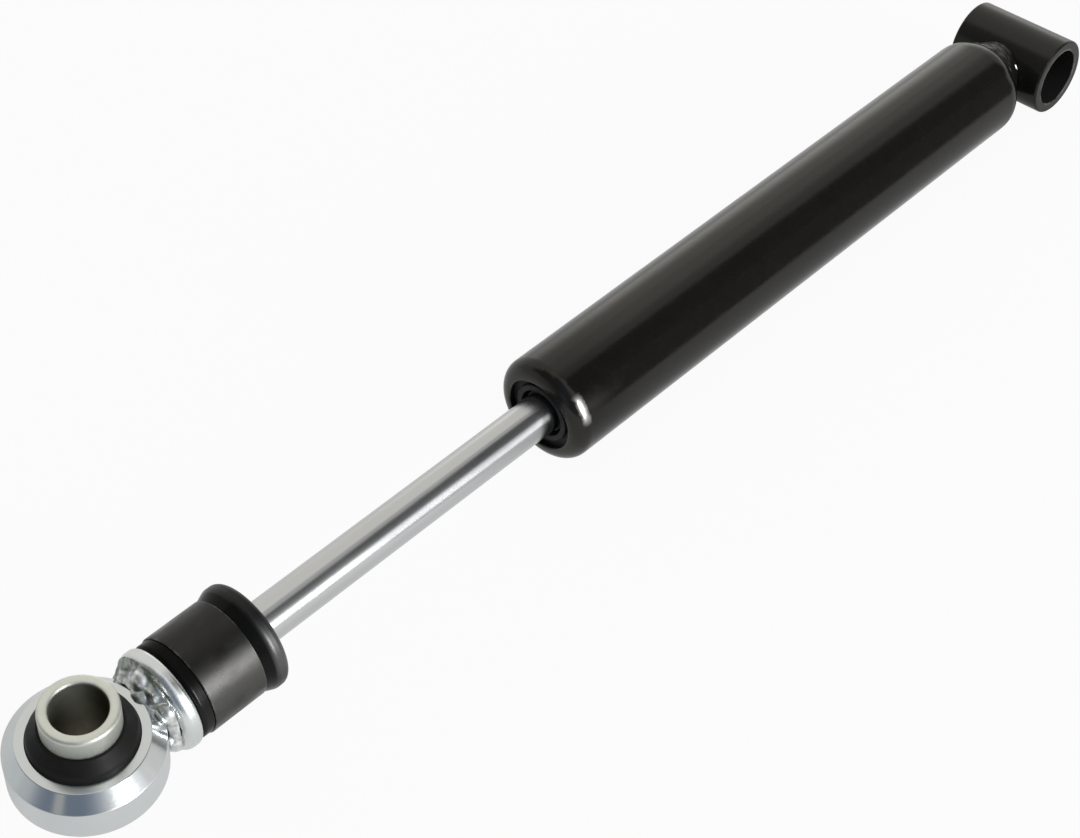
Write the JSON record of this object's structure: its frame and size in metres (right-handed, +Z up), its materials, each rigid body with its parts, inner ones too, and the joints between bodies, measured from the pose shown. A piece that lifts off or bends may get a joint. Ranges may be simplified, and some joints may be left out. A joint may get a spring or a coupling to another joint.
{
  "type": "overrun damper",
  "caption": "Slim gas damper with a gloss black tube, a cross-tube rear eye, a chromed rod with a rubber buffer, and a zinc-plated rubber-bushed rod eye.",
  "frame": {"origin": "middle of the rear eye's bore", "axes": "+X along the damper from the rear eye to the rod eye, +Y along the rear eye's bore, +Z up"},
  "size_m": [0.4184, 0.04, 0.0418],
  "materials": {
    "black_paint": "gloss black paint over a slightly uneven tube",
    "cap_black": "satin black",
    "seal_rubber": "smooth black nitrile",
    "plain_steel": "turned steel",
    "spring_steel": "tempered steel",
    "guide_alloy": "turned alloy",
    "bearing_bronze": "bearing bronze",
    "hard_chrome": "polished hard chrome",
    "sintered_iron": "sintered iron",
    "band_plastic": "bronze-filled slippery plastic",
    "moulded_rubber": "moulded black rubber, slightly glossy",
    "dark_steel": "dark phosphated steel, satin",
    "zinc_plate": "bright zinc plate, faintly blue"
  },
  "bodies": {
    "cylinder": {"cylinder_tube": "black_paint", "rear_eye_tube": "black_paint", "rear_weld_bead": "black_paint", "base_plug": "plain_steel", "dust_cap": "cap_black", "rod_wiper": "seal_rubber", "rod_seal": "seal_rubber", "seal_backing_washer": "plain_steel", "rod_guide": "guide_alloy", "guide_bush": "bearing_bronze", "guide_o_ring": "seal_rubber", "guide_snap_ring": "spring_steel"},
    "piston_band": {"piston_band": "band_plastic"},
    "rod": {"piston_rod": "hard_chrome", "rebound_stop": "moulded_rubber", "rebound_stop_plate": "plain_steel", "compression_shims": "spring_steel", "piston": "sintered_iron", "rebound_shims": "spring_steel", "shim_washer": "plain_steel", "piston_nut": "plain_steel", "buffer_rubber": "moulded_rubber", "buffer_band": "dark_steel", "stop_disc": "zinc_plate", "rod_eye_ring": "zinc_plate", "rod_eye_weld": "zinc_plate", "bush_rubber": "moulded_rubber"},
    "floating_piston": {"floating_piston": "guide_alloy", "floating_piston_o_ring": "seal_rubber"},
    "bush_sleeve": {"bush_sleeve": "zinc_plate"}
  },
  "joints": [
    {"name": "rod_slide", "type": "slide", "parent": "cylinder", "child": "piston_band", "axis": [1, 0, 0], "range_m": [-0.105, 0], "stiffness_N_per_m": 1700, "springref_m": 0.0765},
    {"name": "rod_turn", "type": "hinge", "parent": "piston_band", "child": "rod", "pos_m": [0.2, 0, 0], "axis": [1, 0, 0], "continuous": true},
    {"name": "floating_piston_slide", "type": "slide", "parent": "cylinder", "child": "floating_piston", "axis": [1, 0, 0], "range_m": [-0.0195, 0]},
    {"name": "bush_twist", "type": "hinge", "parent": "rod", "child": "bush_sleeve", "pos_m": [0.3863, 0, 0], "axis": [0, 0.1045, 0.9945], "range_deg": [-15, 15], "stiffness_Nm_per_rad": 20}
  ],
  "couplings": [
    {"joint": "floating_piston_slide", "follows": "rod_slide", "ratio": 0.18367}
  ]
}
